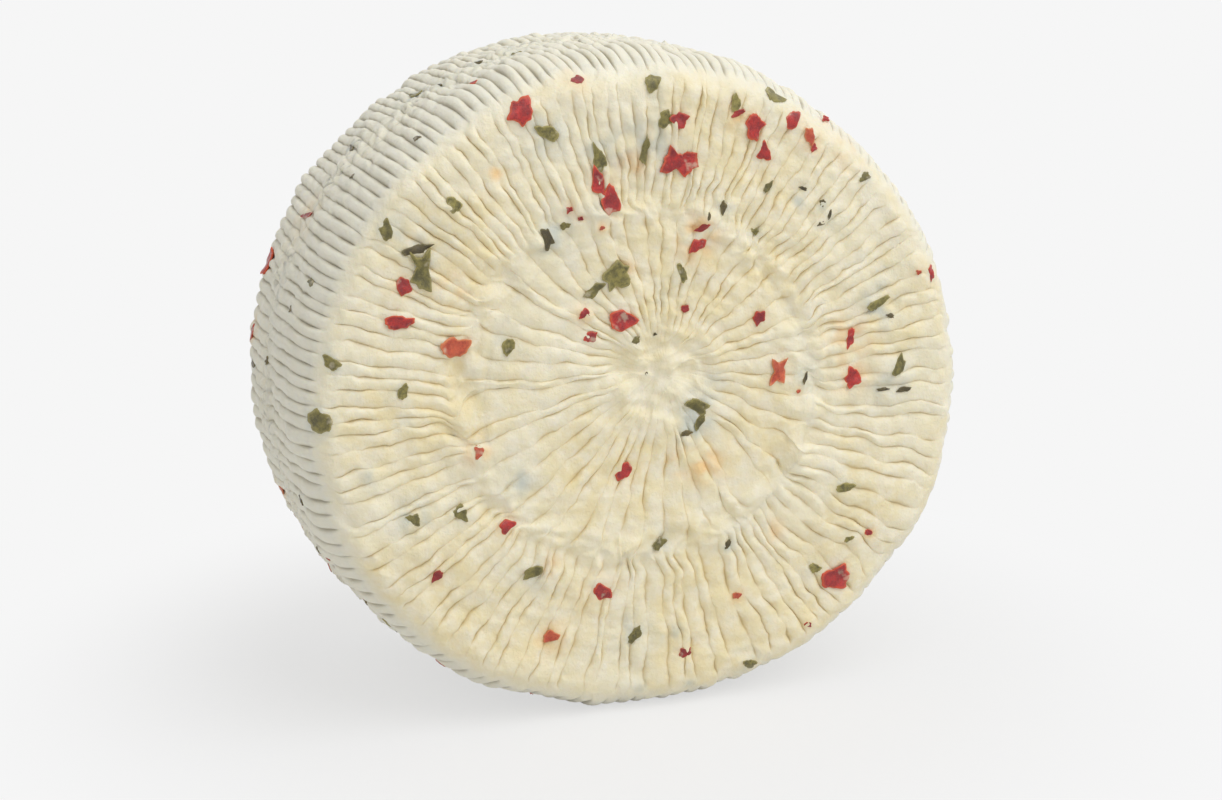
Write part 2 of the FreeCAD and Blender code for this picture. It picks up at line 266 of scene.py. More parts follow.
@functools.lru_cache(maxsize=2)
def wheel_surface(radius, thickness, ridge_depth, rib_depth, lump_depth, seed):
    """The whole rind as rows by columns: points, outward normals, and the marks of the faces'
    creases, where ochre and painted shade go, the side's creases, where shade is painted, and the
    torn band's cracks and crests: painted shade in the cracks, a darker tone on the crests.

    A row is a station on the meridian, a column follows the ridges. Every point is the smooth
    slumped wheel's point, moved along that wheel's normal by the ridges, ribs and lumps."""
    share, turn, along = (row[:, None] for row in wheel_rows())
    half = thickness / 2
    front = along < 1
    plain = crowded(2 * np.pi * np.arange(COLUMNS)[None, :] / COLUMNS + 0 * share)
    approach = radius * (0.89 * share + 0.11 * np.sin(turn))
    rings = {name: ridge_angles(*ring, seed + 11 + len(name)) for name, ring in RINGS.items()}

    def clock(name):
        """A ring's clock angles, which the back has its own of."""
        behind = ridge_angles(*RINGS[name], seed + 22 + len(name))[0]
        return np.where(front, rings[name][0][None, :], behind[None, :])

    # where each ring of ridges rules
    collar = COLLAR + np.where(
        front, 4.5 * np.cos(plain - np.radians(135)), 3.5 * np.cos(plain - np.radians(40))
    )
    rim = RIM + 1.2 * np.cos(plain - np.radians(180))
    inner_rules = ease(collar + 2, collar - 2, approach)
    side_rules = ease(0.25, 0.75, turn)
    angle = inner_rules * clock("inner") + (1 - inner_rules) * clock("outer")
    angle = (1 - side_rules) * angle + side_rules * rings["side"][0][None, :]

    # the creases wander: long sways shared by neighbours, short wobbles, hooks at the collar
    level = 30 * along - 60 + 0 * plain
    base = np.stack([approach * np.cos(plain), level, approach * np.sin(plain)], -1)
    safe = np.maximum(approach, 12)
    on_face = 1 - ease(0.2, 0.6, turn)
    swirl = 0.8 + 1.3 * clock_hump(plain, -35, 34) + 0.5 * clock_hump(plain, 25, 30)
    sway = 0.38 * swirl * waves(base, 17, seed + 1) + 0.15 * waves(base, 7.5, seed + 2)
    sway = sway + 0.085 * waves(base, 3.4, seed + 12)
    hook = 2.0 * hump(approach, collar, 4.5) * np.tanh(3 * np.cos(3 * plain + 0.6))
    fade = ease(4, 22, approach)
    angle = angle + on_face * fade * (sway + 0.6 * hook * waves(base, 30, seed + 3)) / safe
    depth_in = half + along * (half - SHOULDER_DEEP * (1 - np.cos(turn)))
    band = BAND_DEPTH + 3.5 * np.sin(2 * plain + 1.0) + 2.0 * np.sin(5 * plain)
    slip = 1.0 * np.tanh((depth_in - band) / 4) + 0.02 * (depth_in - half)
    drift = 0.20 * waves(base * [1, 0.5, 1], 20, seed + 4) + 0.08 * waves(base, 8, seed + 5)
    angle = angle + (1 - on_face) * (slip * np.sin(4 * plain + 0.5) + drift) / radius

    # ridges, ribs and lumps
    radial, axial, normal_r, normal_y = smooth_wheel(angle, share, turn, along, radius, half)
    way = approach[:, 0] + 60 * (along[:, 0] + 1)
    power = 0.85 - 0.42 * ease(50, 88, approach)

    def relief(name, *shape):
        """A ring's relief, from its way, size, power, evenness and rise."""
        return ridge_relief(*rings[name][1:], *shape, seed)

    def own_ends(name, number):
        """A random number for each ridge, by which its end comes sooner or later."""
        return strands(np.zeros(1), RINGS[name][0], 1, seed + number)[0, rings[name][2]][None, :]

    outer, outer_cut = relief("outer", way, 17, power, 0.76, 0.20)
    inner, inner_cut = relief("inner", way, 15, 0.66, 0.74, 0.20)
    side, side_cut = relief("side", axial[:, 0], 20, 0.52, 0.88, 0.12)
    ends = 0.7 * own_ends("outer", 77)
    outer_here = ease(collar - 0.5, collar + 3.5, approach)
    outer_here = outer_here * (1 - ease(rim - 3.4 + ends, rim + 1.2 + ends, approach))
    outer_here = outer_here * on_face
    inner_here = ease(collar + 0.5, collar - 3.5, approach) * ease(8, 20, approach)
    rib_ends = 0.05 * own_ends("side", 78)
    side_here = ease(0.55 + rib_ends, 0.92 + rib_ends, turn)
    torn = hump(depth_in, band, 7.5) * (0.75 + 0.25 * np.tanh(2 * waves(base, 22, seed + 6)))
    side_here = side_here * (1 - 0.6 * torn)

    lump, crumbs_and_crack_shade = rind_lumps(base, torn * side_rules, approach, collar, on_face, seed)
    height = (
        ridge_depth * (outer * outer_here + 0.85 * inner * inner_here)
        + rib_depth * side * side_here
        + lump_depth * (lump - 0.35)
    )
    height = height - 0.7 * hump(approach, 6, 8) * on_face

    # the pole of the ridges stands a little off the wheel's middle
    pull = (1 - ease(0, 0.62, share)) * on_face
    shift_x = np.where(front, 2.4, -2.0) * pull
    shift_z = np.where(front, 6.0, 3.0) * pull
    radial = radial + height * normal_r
    x = radial * np.cos(angle) + shift_x
    y = axial + height * normal_y
    z = radial * np.sin(angle) + shift_z + middle_height(radius)
    bed = 0.16 + 0.10 * np.sin(x / 3.0)
    z = np.where(z < 6, bed + (z - bed + np.sqrt((z - bed) ** 2 + 0.16)) / 2 - 0.05, z)
    points = np.stack([x, y, z], -1)

    def creases(name, cut, here, bend):
        """How deep in a crease every point is: the cut, where the ring is, less the crown."""
        return cut * here * (1 - crown(rings[name][1], bend))[None, :]

    # these marks set where the rind's colour paints shade: in the faces' and the side's creases
    on_faces = creases("outer", outer_cut, outer_here, 0.34)
    on_faces = on_faces + creases("inner", inner_cut, inner_here, 0.34)
    round_side = creases("side", side_cut, side_here, 0.6)
    marks = np.clip(np.stack([on_faces, round_side, crumbs_and_crack_shade], -1), 0, 1)
    outward = np.stack(
        [normal_r * np.cos(angle), normal_y + 0 * angle, normal_r * np.sin(angle)], -1
    )
    return points, grid_normals(points, outward), marks


def grid_normals(points, outward):
    """Normals of a closed grid: the cross product of the steps to its neighbours across and along,
    turned to the side that the outward directions point to. The two poles' are along Y."""
    across = np.roll(points, -1, 1) - np.roll(points, 1, 1)
    normals = np.cross(across, np.gradient(points, axis=0))
    normals[0], normals[-1] = [0, -1, 0], [0, 1, 0]
    normals /= np.maximum(np.linalg.norm(normals, axis=-1, keepdims=True), 1e-12)
    return np.where((normals * outward).sum(-1, keepdims=True) < 0, -normals, normals)


def middle_height(radius):
    """Height of the wheel's middle: the outline's lowest reach less the flat that its weight
    presses."""
    return 0.967 * radius - 1.0


# ---- charts that the chips lie on


class Chart:
    """A smoothed map of part of the rind: the mean height of the surface in square cells of a
    plane, with empty cells filled from their neighbours, blurred, and read back between the
    cells."""

    def __init__(self, u, v, height, step=0.7, blur=3):
        self.step = step
        self.low = np.array([u.min(), v.min()]) - 3 * step
        size = np.ceil((np.array([u.max(), v.max()]) - self.low) / step).astype(int) + 4
        i = np.round((u - self.low[0]) / step).astype(int)
        j = np.round((v - self.low[1]) / step).astype(int)
        flat = (i * size[1] + j).ravel()
        count = np.bincount(flat, minlength=size[0] * size[1]).reshape(size).astype(float)
        total = np.bincount(flat, height.ravel(), size[0] * size[1]).reshape(size)
        for _ in range(40):
            empty = count == 0
            if not empty.any():
                break
            total = np.where(empty, self.around(total), total)
            count = np.where(empty, self.around(count), count)
        cells = total / np.maximum(count, 1e-9)
        for _ in range(blur):
            cells = (cells + self.around(cells)) / 5
        self.cells = cells

    @staticmethod
    def around(cells):
        """Sum of the four neighbours of every cell."""
        padded = np.pad(cells, 1, mode="edge")
        return padded[:-2, 1:-1] + padded[2:, 1:-1] + padded[1:-1, :-2] + padded[1:-1, 2:]

    def height(self, u, v):
        """Height at any places, linear between the four nearest cells."""
        x = np.clip((u - self.low[0]) / self.step, 0, self.cells.shape[0] - 1.001)
        y = np.clip((v - self.low[1]) / self.step, 0, self.cells.shape[1] - 1.001)
        i, j = x.astype(int), y.astype(int)
        p, q = x - i, y - j
        near = self.cells[i, j] * (1 - q) + self.cells[i, j + 1] * q
        far = self.cells[i + 1, j] * (1 - q) + self.cells[i + 1, j + 1] * q
        return near * (1 - p) + far * p


@functools.lru_cache(maxsize=2)
def wheel_charts(*surface_key):
    """Charts of the front, the back and the side of one wheel surface, and its middle's height."""
    points = wheel_surface(*surface_key)[0]
    x, y, z = points[..., 0], points[..., 1], points[..., 2]
    middle = middle_height(surface_key[0])
    face_end = FACE_ROWS + SHOULDER_ROWS // 2
    front, back = slice(1, face_end), slice(len(points) - face_end, len(points) - 1)
    side = slice(FACE_ROWS + SHOULDER_ROWS // 4, len(points) - FACE_ROWS - SHOULDER_ROWS // 4)
    angle = np.arctan2(z[side] - middle, x[side]) % (2 * np.pi)
    reach = np.hypot(x[side], z[side] - middle)
    return {
        "front": Chart(x[front], z[front] - middle, -y[front]),
        "back": Chart(x[back], z[back] - middle, y[back]),
        "side": Chart(angle * SIDE_REACH, y[side], reach, step=0.9),
        "middle": middle,
    }


def on_chart(charts, chart, u, v, height):
    """Points that stand the given heights over a chart. Front and back are read at (x, z from the
    middle); the side is read at (clock angle times the reach at which it is unrolled, y)."""
    level, middle = charts[chart].height(u, v) + height, charts["middle"]
    if chart == "side":
        clock = u / SIDE_REACH
        return np.stack([level * np.cos(clock), v, level * np.sin(clock) + middle], -1)
    return np.stack([u, level if chart == "back" else -level, v + middle], -1)


# ---- chips and flakes


def chip_sheet(corners, thickness, wrinkle, rng, grid):
    """A dried chip as a closed skin: rings of shares 0..1 of a cornered outline, over the top and
    back under it. The outline runs straight from corner to corner, with small waves. The skin
    stands half the thickness times the root of 1 - share^8 from the chip's middle, which is bent
    like a saddle and wrinkled by short waves. Gives a, b and height in mm, and the share as the
    edge mark."""
    angles, rings = grid
    turn = np.linspace(0, 2 * np.pi, angles, endpoint=False)
    spread = np.ptp(corners, axis=0) / 2
    corners = corners / spread
    corner_turn = np.arctan2(corners[:, 1], corners[:, 0])
    onward = (turn - corner_turn[0]) % (2 * np.pi)
    corner_turn = corner_turn - corner_turn[0]
    reach = np.hypot(corners[:, 0], corners[:, 1])
    count = len(corners)
    k = np.searchsorted(corner_turn, onward, side="right") - 1
    t0, t1 = corner_turn[k], corner_turn[(k + 1) % count]
    r0, r1 = reach[k], reach[(k + 1) % count]
    gap = (t1 - t0) % (2 * np.pi)
    step = onward - t0
    straight = r0 * r1 * np.sin(gap) / (r0 * np.sin(step) + r1 * np.sin(gap - step) + 1e-9)
    eased = r0 + (r1 - r0) * ease(0, 1, step / gap)
    outline = np.clip(np.where(gap < 2.6, straight, eased), 0, 1.1 * reach.max())
    for rate in (3, 5, 9):
        wave = np.sin(rate * turn + rng.uniform(0, 6.3)) * rng.uniform(0.5, 1.5)
        outline = outline * (1 + 0.30 / rate * wave)
    share = np.sin(np.linspace(0, np.pi / 2, rings))[:, None]
    share = np.concatenate([share, share[::-1][1:]])
    upper = (np.arange(len(share)) < rings)[:, None]
    rim = np.stack([outline * np.cos(turn), outline * np.sin(turn)])
    rim *= (2 * spread / np.ptp(rim, axis=1))[:, None]
    a, b = share * rim[0], share * rim[1]
    half = np.maximum(1 - share**8, 0) ** 0.5
    body = np.where(upper, half, -half) * thickness / 2
    size = spread.mean()
    saddle = (a / size) ** 2 * rng.uniform(0.1, 0.3) + (b / size) ** 2 * rng.uniform(-0.15, 0.25)
    bend = CHIP_CURL * size * saddle
    ripple = np.zeros_like(a)
    for _ in range(5):
        way = rng.uniform(0, 2 * np.pi)
        rate = 1.6 * rng.uniform(1.6, 4.2) / size
        ripple += np.sin((a * np.cos(way) + b * np.sin(way)) * rate + rng.uniform(0, 6.3))
    return a, b, body + bend + wrinkle * ripple * (0.4 + 0.6 * share), share + 0 * a


def random_corners(length, width, rng, count):
    """Corners of an uneven chip: even steps round it, each moved and drawn in by its own share,
    then stretched to the length and width."""
    steps = (np.arange(count) + 0.28 * rng.uniform(-1, 1, count)) / count
    turn = np.sort((2 * np.pi * steps + rng.uniform(0, 6.3)) % (2 * np.pi))
    reach = rng.uniform(0.6, 1.0, count)
    corners = np.stack([reach * np.cos(turn), reach * np.sin(turn)], -1)
    corners -= (corners.max(0) + corners.min(0)) / 2
    corners *= np.array([length, width]) / np.ptp(corners, axis=0)
    order = np.argsort(np.arctan2(corners[:, 1], corners[:, 0]))
    return corners[order]


def laid_skin(charts, chart, u, v, turn, sheet, lift):
    """Turns a chip's sheet about its place on a chart, lays it on the rind, raised by the lift,
    and gives its points and its triangles, which face outwards."""
    a, b, height = sheet
    along = a * np.cos(turn) - b * np.sin(turn)
    across = a * np.sin(turn) + b * np.cos(turn)
    faces = band_faces(*a.shape, True, True)
    points = on_chart(charts, chart, u + along, v + across, height + lift)
    return points, faces if chart == "back" else faces[:, ::-1]


# Small flakes: place as shares of the half width and half height from the wheel's middle, length
# and width in mm, and turn in degrees.
FRONT_FLAKES = {
    "red": (
        (-0.16, 0.63, 9, 4.6, 112), (-0.20, 0.255, 3.6, 2.6, 40), (-0.18, 0.185, 4.6, 3.6, 20),
        (-0.69, 0.365, 5, 4.2, 100), (0.605, 0.01, 6.8, 5, 95), (0.595, 0.13, 6.4, 3, 70),
        (0.31, 0.21, 4.8, 3.6, 80), (0.405, 0.785, 6, 4.4, 60), (0.32, 0.695, 6.2, 4.2, 110),
        (0.07, 0.795, 5.8, 5, 10), (0.14, 0.485, 4.8, 2.4, 25), (0.125, 0.43, 6.2, 4.2, 45),
        (0.095, 0.25, 2.6, 2.2, 0), (0.24, 0.81, 4.6, 2, 15), (0.665, -0.48, 2.6, 2, 0),
        (0.48, -0.755, 2.4, 2, 0), (-0.24, 0.555, 2.4, 2, 60), (0.85, 0.31, 5, 2.2, 100),
        (0.525, 0.78, 2.4, 1.8, 0), (-0.21, 0.915, 4.2, 2.2, 10), (0.47, 0.70, 3, 1.8, 60),
        (-0.21, 0.53, 1.6, 1.2, 0), (-0.08, -0.22, 6, 4.5, 70), (-0.42, -0.35, 5, 4, 20),
        (-0.15, -0.58, 6.5, 4.5, 140), (0.10, -0.80, 4, 3, 0), (-0.62, -0.48, 4.4, 3, 60),
    ),
    "orange": (
        (0.46, 0.735, 5.6, 3, 100), (0.26, -0.64, 3, 2.2, 0), (0.805, 0.315, 1.8, 1.6, 0),
        (-0.15, 0.50, 1.8, 1.2, 30), (0.435, -0.02, 1.5, 1.2, 0), (-0.30, -0.70, 5, 3.6, 30),
        (-0.50, -0.12, 4, 3, 80),
    ),
    "green": (
        (-0.17, 0.32, 7.2, 3.6, 25), (-0.155, 0.70, 8.6, 3.8, 100), (-0.30, 0.775, 7.4, 3.8, 150),
        (-0.56, 0.585, 5, 4, 150), (-0.41, 0.175, 5, 3.6, 60), (-0.735, 0.52, 6, 4, 100),
        (-0.89, 0.165, 5.2, 3.6, 130), (-0.70, 0.07, 4.6, 3, 60), (0.0, 0.905, 5.4, 4.6, 30),
        (0.03, 0.80, 5.2, 4.2, 90), (-0.025, 0.72, 8.6, 2.4, 80), (0.235, 0.84, 5.2, 3, 85),
        (0.36, 0.85, 7.6, 3.6, 150), (0.625, 0.61, 4, 2.4, 30), (0.335, 0.595, 4.2, 2, 40),
        (0.30, 0.465, 2.4, 2.2, 0), (0.085, 0.36, 5.8, 2.4, 105), (-0.05, 0.17, 3, 2.2, 30),
        (0.68, 0.23, 8, 2.6, 25), (0.745, 0.035, 7, 3.4, 70), (0.13, -0.04, 7.2, 3.8, 150),
        (0.14, -0.09, 5.4, 2.4, 60), (0.585, -0.33, 6.4, 2.6, 5), (0.50, -0.58, 4.2, 3, 160),
        (-0.25, 0.51, 2.8, 2.4, 0), (-0.92, 0.0, 6.8, 6, 80), (0.605, -0.495, 3.4, 1.8, 20),
        (-0.35, -0.50, 6.4, 4, 40), (-0.55, -0.30, 5.4, 4, 110), (0.02, -0.45, 5, 3.4, 20),
        (-0.05, -0.72, 6, 4, 70), (-0.68, -0.30, 5, 3.6, 150), (0.30, -0.86, 5, 3, 160),
    ),
    "dark": (
        (-0.655, 0.465, 9, 2.6, 15), (-0.30, 0.475, 6.6, 3.2, 110), (0.20, 0.54, 4.4, 2.2, 80),
        (0.765, -0.04, 5, 1.6, 0), (0.70, -0.035, 4.6, 1.3, 175), (0.455, 0.02, 4.2, 1.6, 75),
        (0.10, -0.12, 4, 1.8, 10), (0.225, -0.475, 3.2, 2, 60), (0.44, 0.585, 2.6, 1, 160),
        (0.495, 0.54, 2.2, 1.8, 60), (0.49, 0.48, 2.4, 1.2, 20), (0.515, 0.505, 3.2, 1.1, 70),
        (0.155, 0.515, 3, 1.2, 80), (-0.015, 0.065, 1.1, 1, 0), (0.01, 0.18, 1.2, 1, 0),
        (0.715, 0.19, 2.4, 1.6, 0), (0.66, 0.215, 3, 1.4, 170),
    ),
}
# On the side: clock angle in degrees, depth in mm behind the front face, length, width, turn.
SIDE_FLAKES = {
    "red": ((150.6, 46.4, 7.6, 2.2, 75), (117.3, 21.2, 2.2, 1.6, 0), (173.4, 69.8, 6, 3, 20)),
    "green": ((123.7, 47.6, 6.4, 2.2, 65), (159.3, 14.9, 4.4, 2, 100), (106.8, 34.9, 3, 1.6, 30)),
    "dark": (
        (131, 11.2, 3.2, 1.8, 60), (137.6, 45.6, 5.4, 1.6, 110), (141.5, 26.9, 2.4, 1.6, 40),
        (178.6, 69.3, 4.4, 3, 80), (175.7, 47.9, 2.6, 1.6, 0), (164.8, 26.3, 2, 1.4, 0),
        (120.2, 38.5, 2.8, 1.2, 80), (112.4, 41, 2.6, 1.3, 20), (72, 30, 3, 1.4, 0),
        (60, 26, 3.4, 1.2, 10),
    ),
}
# At random: how many on the back, how many more round the side, longest and shortest length in mm.
SCATTER = {
    "red": (30, 12, 8.0, 2.4),
    "orange": (8, 4, 6.0, 2.0),
    "green": (34, 14, 8.6, 2.6),
    "dark": (16, 18, 5.5, 1.6),
}


# Outlines of the chips with deep bays, as shares of their plate's half length and half height.
BAYED = {
    "pepper_lobed": (
        (1.0, -0.35), (0.75, 0.0), (0.8, 0.45), (0.45, 0.7), (0.2, 0.42), (-0.02, 0.42),
        (-0.4, 0.95), (-0.55, 0.35), (-0.85, -0.1), (-0.95, -0.55), (-0.45, -0.55), (-0.12, -0.4),
        (0.0, -0.5), (0.3, -0.95), (0.6, -0.45),
    ),
    "herb_large": (
        (0.9, -1.0), (0.85, -0.3), (0.9, 0.3), (0.85, 1.0), (0.1, 0.6), (-0.35, 0.6), (-1.0, 0.95),
        (-0.9, 0.7), (-0.35, 0.2), (-0.45, -0.1), (-0.9, -0.45), (-0.2, -0.8), (0.3, -0.85),
    ),
    "pepper_right": (
        (1.0, 1.0), (0.55, 0.2), (0.75, -0.5), (0.6, -1.0), (-0.1, -0.65), (-1.0, -0.9),
        (-0.6, -0.1), (-0.75, 0.85), (0.1, 0.6),
    ),
}


@functools.lru_cache(maxsize=2)
def flake_places(thickness, seed):
    """Every small flake as (kind, chart, u, v, length, width, turn). The front's and the seen
    side's stand at their own places; the back's fill a disc and the rest of the side's a strip at
    random."""
    rng = np.random.default_rng(seed)
    places = []

    def put(*place):
        places.append(place)

    for kind, rows in FRONT_FLAKES.items():
        for x, z, length, width, turn in rows:
            u, v = x * HALF_WIDTH, z * HALF_HEIGHT
            put(kind, "front", u, v, length, width, np.radians(turn))
    for kind, rows in SIDE_FLAKES.items():
        for clock, depth, length, width, turn in rows:
            u, v = np.radians(clock) * SIDE_REACH, depth - thickness / 2
            put(kind, "side", u, v, length, width, np.radians(turn))
    for kind, (on_back, on_side, longest, shortest) in SCATTER.items():
        for _ in range(on_back):
            reach = FLAKES_REACH * np.sqrt(rng.uniform(0.004, 0.95))
            clock = rng.uniform(0, 2 * np.pi)
            length = shortest + (longest - shortest) * rng.uniform() ** 1.5
            u, v = reach * np.cos(clock), 0.96 * reach * np.sin(clock)
            put(kind, "back", u, v, length, length * rng.uniform(0.4, 0.9), rng.uniform(0, 3.1))
        for _ in range(on_side):
            clock = rng.choice([rng.uniform(-75, 98), rng.uniform(195, 255)])
            u = np.radians(clock) % (2 * np.pi) * SIDE_REACH
            length = shortest + 0.8 * (longest - shortest) * rng.uniform() ** 1.8
            v = rng.uniform(-0.38, 0.40) * thickness
            put(kind, "side", u, v, length, length * rng.uniform(0.3, 0.7), rng.uniform(0, 3.1))
    return tuple(places)


# ---- meshes


def add_piece(name, points, faces, material, normals=None, attributes=None):
    """A smooth mesh object at the origin from points in mm and faces, with its own normals and
    colour attributes where they are given. Points that no face uses are left out."""
    used = np.zeros(len(points), bool)
    used[faces] = True
    mesh = bpy.data.meshes.new(name)
    mesh.from_pydata(points[used] * MM, [], (np.cumsum(used) - 1)[faces])
    mesh.update()
    mesh.polygons.foreach_set("use_smooth", np.ones(len(mesh.polygons), bool))
    for key, values in (attributes or {}).items():
        colours = np.ones((np.count_nonzero(used), 4), np.float32)
        colours[:, : values.shape[-1]] = values[used]
        layer = mesh.color_attributes.new(key, "FLOAT_COLOR", "POINT")
        layer.data.foreach_set("color", colours.ravel())
    if normals is not None:
        mesh.normals_split_custom_set_from_vertices(normals[used])
    mesh.materials.append(material)
    piece = bpy.data.objects.new(name, mesh)
    bpy.context.scene.collection.objects.link(piece)
    return piece


def band_faces(rows, columns, pole_first, pole_last):
    """Triangles of a band of grid rows that closes round: two for each cell of the grid, wound to
    face outwards. At a pole the end row is one point, and the triangles that this flattens are
    left out."""
    grid = np.arange(rows * columns).reshape(rows, columns)
    if pole_first:
        grid[0] = grid[0, 0]
    if pole_last:
        grid[-1] = grid[-1, 0]
    a, b = grid[:-1], grid[1:]
    a_next, b_next = np.roll(a, -1, 1), np.roll(b, -1, 1)
    halves = [np.stack([a, b_next, a_next], -1), np.stack([a, b, b_next], -1)]
    faces = np.stack(halves).reshape(-1, 3)
    return faces[(faces != np.roll(faces, 1, 1)).all(1)]


# ---- shader building


def math_method(operation, reflected=False):
    """A method that adds a Math node for one of Python's operators, or for its reflected form."""

    def method(self, other):
        sides = (other, self) if reflected else (self, other)
        settings = {"operation": operation}
        return self.shader.number("ShaderNodeMath", settings, dict(enumerate(sides)))

    return method


class Value:
    """A number socket that Python's operators turn into Math nodes."""

    __add__, __radd__ = math_method("ADD"), math_method("ADD", True)
    __sub__, __rsub__ = math_method("SUBTRACT"), math_method("SUBTRACT", True)
    __mul__, __rmul__ = math_method("MULTIPLY"), math_method("MULTIPLY", True)

    def __init__(self, shader, socket):
        self.shader = shader
        self.socket = socket

    def between(self, low, high):
        """Share of the way from low to high, smoothly kept in 0..1."""
        inputs = {"Value": self, "From Min": low, "From Max": high}
        settings = {"interpolation_type": "SMOOTHSTEP"}
        return self.shader.number("ShaderNodeMapRange", settings, inputs, "Result")


class Shader:
    """The nodes of a material or a world, added by type, settings and inputs."""

    def __init__(self, owner):
        owner.use_nodes = True
        self.owner = owner
        self.tree = owner.node_tree
        self.tree.nodes.clear()

    def node(self, kind, settings=None, inputs=None):
        """Adds a node: its settings are set first, then its inputs' values or links."""
        node = self.tree.nodes.new(kind)
        for key, value in (settings or {}).items():
            setattr(node, key, value)
        for key, value in (inputs or {}).items():
            value = getattr(value, "socket", value)
            if isinstance(value, bpy.types.NodeSocket):
                self.tree.links.new(value, node.inputs[key])
            else:
                node.inputs[key].default_value = value
        return node

    def number(self, kind, settings=None, inputs=None, output=0):
        """Adds a node and gives one of its outputs as a number."""
        return Value(self, self.node(kind, settings, inputs).outputs[output])

    def mix(self, share, first, second):
        """Mixes two colours, each a socket or three numbers, by a share."""
        sockets = bpy.types.NodeSocket
        first, second = (
            each if isinstance(each, sockets) else (*each, 1) for each in (first, second)
        )
        inputs = {0: share, 6: first, 7: second}
        return self.node("ShaderNodeMix", {"data_type": "RGBA"}, inputs).outputs[2]

    def noise(self, scale, detail=3.0, roughness=0.5, distortion=0.0):
        """Noise on object coordinates, with waves of about 1/scale metres."""
        place = self.node("ShaderNodeTexCoord").outputs["Object"]
        inputs = {"Vector": place, "Scale": scale, "Detail": detail, "Roughness": roughness}
        inputs["Distortion"] = distortion
        return self.number("ShaderNodeTexNoise", {}, inputs, "Fac")

    def marks(self, name, count):
        """The first channels of a colour attribute."""
        colour = self.node("ShaderNodeAttribute", {"attribute_name": name}).outputs["Color"]
        channels = self.node("ShaderNodeSeparateColor", {}, {"Color": colour})
        return [Value(self, channels.outputs[k]) for k in range(count)]

    def finish(self, surface):
        """Ends a material with its surface, and gives it."""
        self.node("ShaderNodeOutputMaterial", {}, {"Surface": surface})
        return self.owner

    def seen(self):
        """1 for the rays that show the background: from the camera, in gloss or through glass."""
        rays = self.node("ShaderNodeLightPath").outputs
        names = ("Is Camera Ray", "Is Glossy Ray", "Is Transmission Ray")
        camera, glossy, through = (Value(self, rays[name]) for name in names)
        return camera + glossy + through


def srgb(red, green, blue):
    """A colour given as it looks on screen, 0 to 255, as linear light."""
    levels = np.array([red, green, blue]) / 255
    light = np.where(levels <= 0.04045, levels / 12.92, ((levels + 0.055) / 1.055) ** 2.4)
    return tuple(float(v) for v in light)


def rind_material(colours):
    """Moist cream rind: slow changes between two creams, ochre and painted shade in the faces'
    creases, painted shade in the side's creases and cracks with a darker tone on the torn crests,
    a paler, greyer side that is partly its own tone and partly painted shade, orange halos round
    the peppers, grey-blue where herbs lie just under the skin, and pores in its bump."""
    shader = Shader(bpy.data.materials.new("rind_cream"))
    crease, side_crease_shade, crumbs_and_crack_shade = shader.marks("marks", 3)
    shade, around, stain = shader.marks("shade", 3)
    slow = shader.noise(28, 3).between(0.36, 0.64)
    quick = shader.noise(190, 5, 0.62).between(0.34, 0.68)
    grain = shader.noise(1500, 3, 0.6)
    base = shader.mix(slow, colours.cream, colours.butter)
    base = shader.mix(quick * 0.6, base, colours.milk)
    # partly painted shade: a paler, greyer side, partly its own tone and partly the grey of its
    # shade
    base = shader.mix(around * 0.8, base, colours.chalk_and_side_shade)
    # painted shade: the faces' creases darken towards ochre, partly the rind's own ochre, partly
    # shade
    base = shader.mix(crease.between(0.12, 0.90) * (0.45 + 0.55 * slow), base, colours.crease)
    # painted shade: the side's creases darken to grey
    base = shader.mix(side_crease_shade.between(0.15, 0.9) * 0.75, base, colours.rib_crease_shade)
    # painted shade in the torn band's cracks, and a darker tone on its gristle's crests
    base = shader.mix(crumbs_and_crack_shade * 0.8, base, colours.crumb_and_crack_shade)
    base = shader.mix(shade, base, colours.buried)
    base = shader.mix(stain, base, colours.stain)
    pores = shader.noise(620, 4, 0.65)
    fine = shader.noise(230, 3, 0.55)
    skin = {"Strength": 0.8, "Distance": 0.0007, "Height": pores * 0.6 + fine * 0.9 + grain * 0.25}
    bump = shader.node("ShaderNodeBump", {}, skin)
    cheese = {
        "Base Color": base,
        "Roughness": 0.40 + pores * 0.22,
        "Normal": bump.outputs[0],
        "Specular IOR Level": 0.42,
        "Subsurface Weight": 0.25,
        "Subsurface Radius": (1.0, 0.8, 0.5),
        "Subsurface Scale": 0.0035,
    }
    return shader.finish(shader.node("ShaderNodeBsdfPrincipled", {}, cheese).outputs[0])


def dried_material(name, deep, bright, thin, gloss):
    """A dried, soaked chip: deep colour in its middle, brighter where it is thin at the edge,
    blotched and finely wrinkled, with a wet gloss."""
    shader = Shader(bpy.data.materials.new(name))
    edge, tone = shader.marks("edge", 2)
    blotch = shader.noise(420, 4, 0.6).between(0.3, 0.7)
    veins = shader.noise(1100, 4, 0.7, 1.5)
    base = shader.mix(blotch, deep, bright)
    base = shader.mix(veins.between(0.5, 0.68) * 0.6, base, [0.4 * v for v in deep])
    base = shader.mix(edge.between(0.74, 1.0) * 0.8, base, thin)
    base = shader.mix(tone * 0.5, base, [0.5 * v for v in deep])
    film = shader.noise(260, 3, 0.5).between(0.60, 0.72) * 0.45
    base = shader.mix(film, base, PALE_FILM)
    wrinkles = {"Strength": 0.7, "Distance": 0.0004, "Height": veins + blotch * 0.6}
    bump = shader.node("ShaderNodeBump", {}, wrinkles)
    pulp = {
        "Base Color": base,
        "Roughness": gloss + veins * 0.2,
        "Normal": bump.outputs[0],
        "Coat Weight": 0.25,
        "Coat Roughness": 0.18,
    }
    return shader.finish(shader.node("ShaderNodeBsdfPrincipled", {}, pulp).outputs[0])


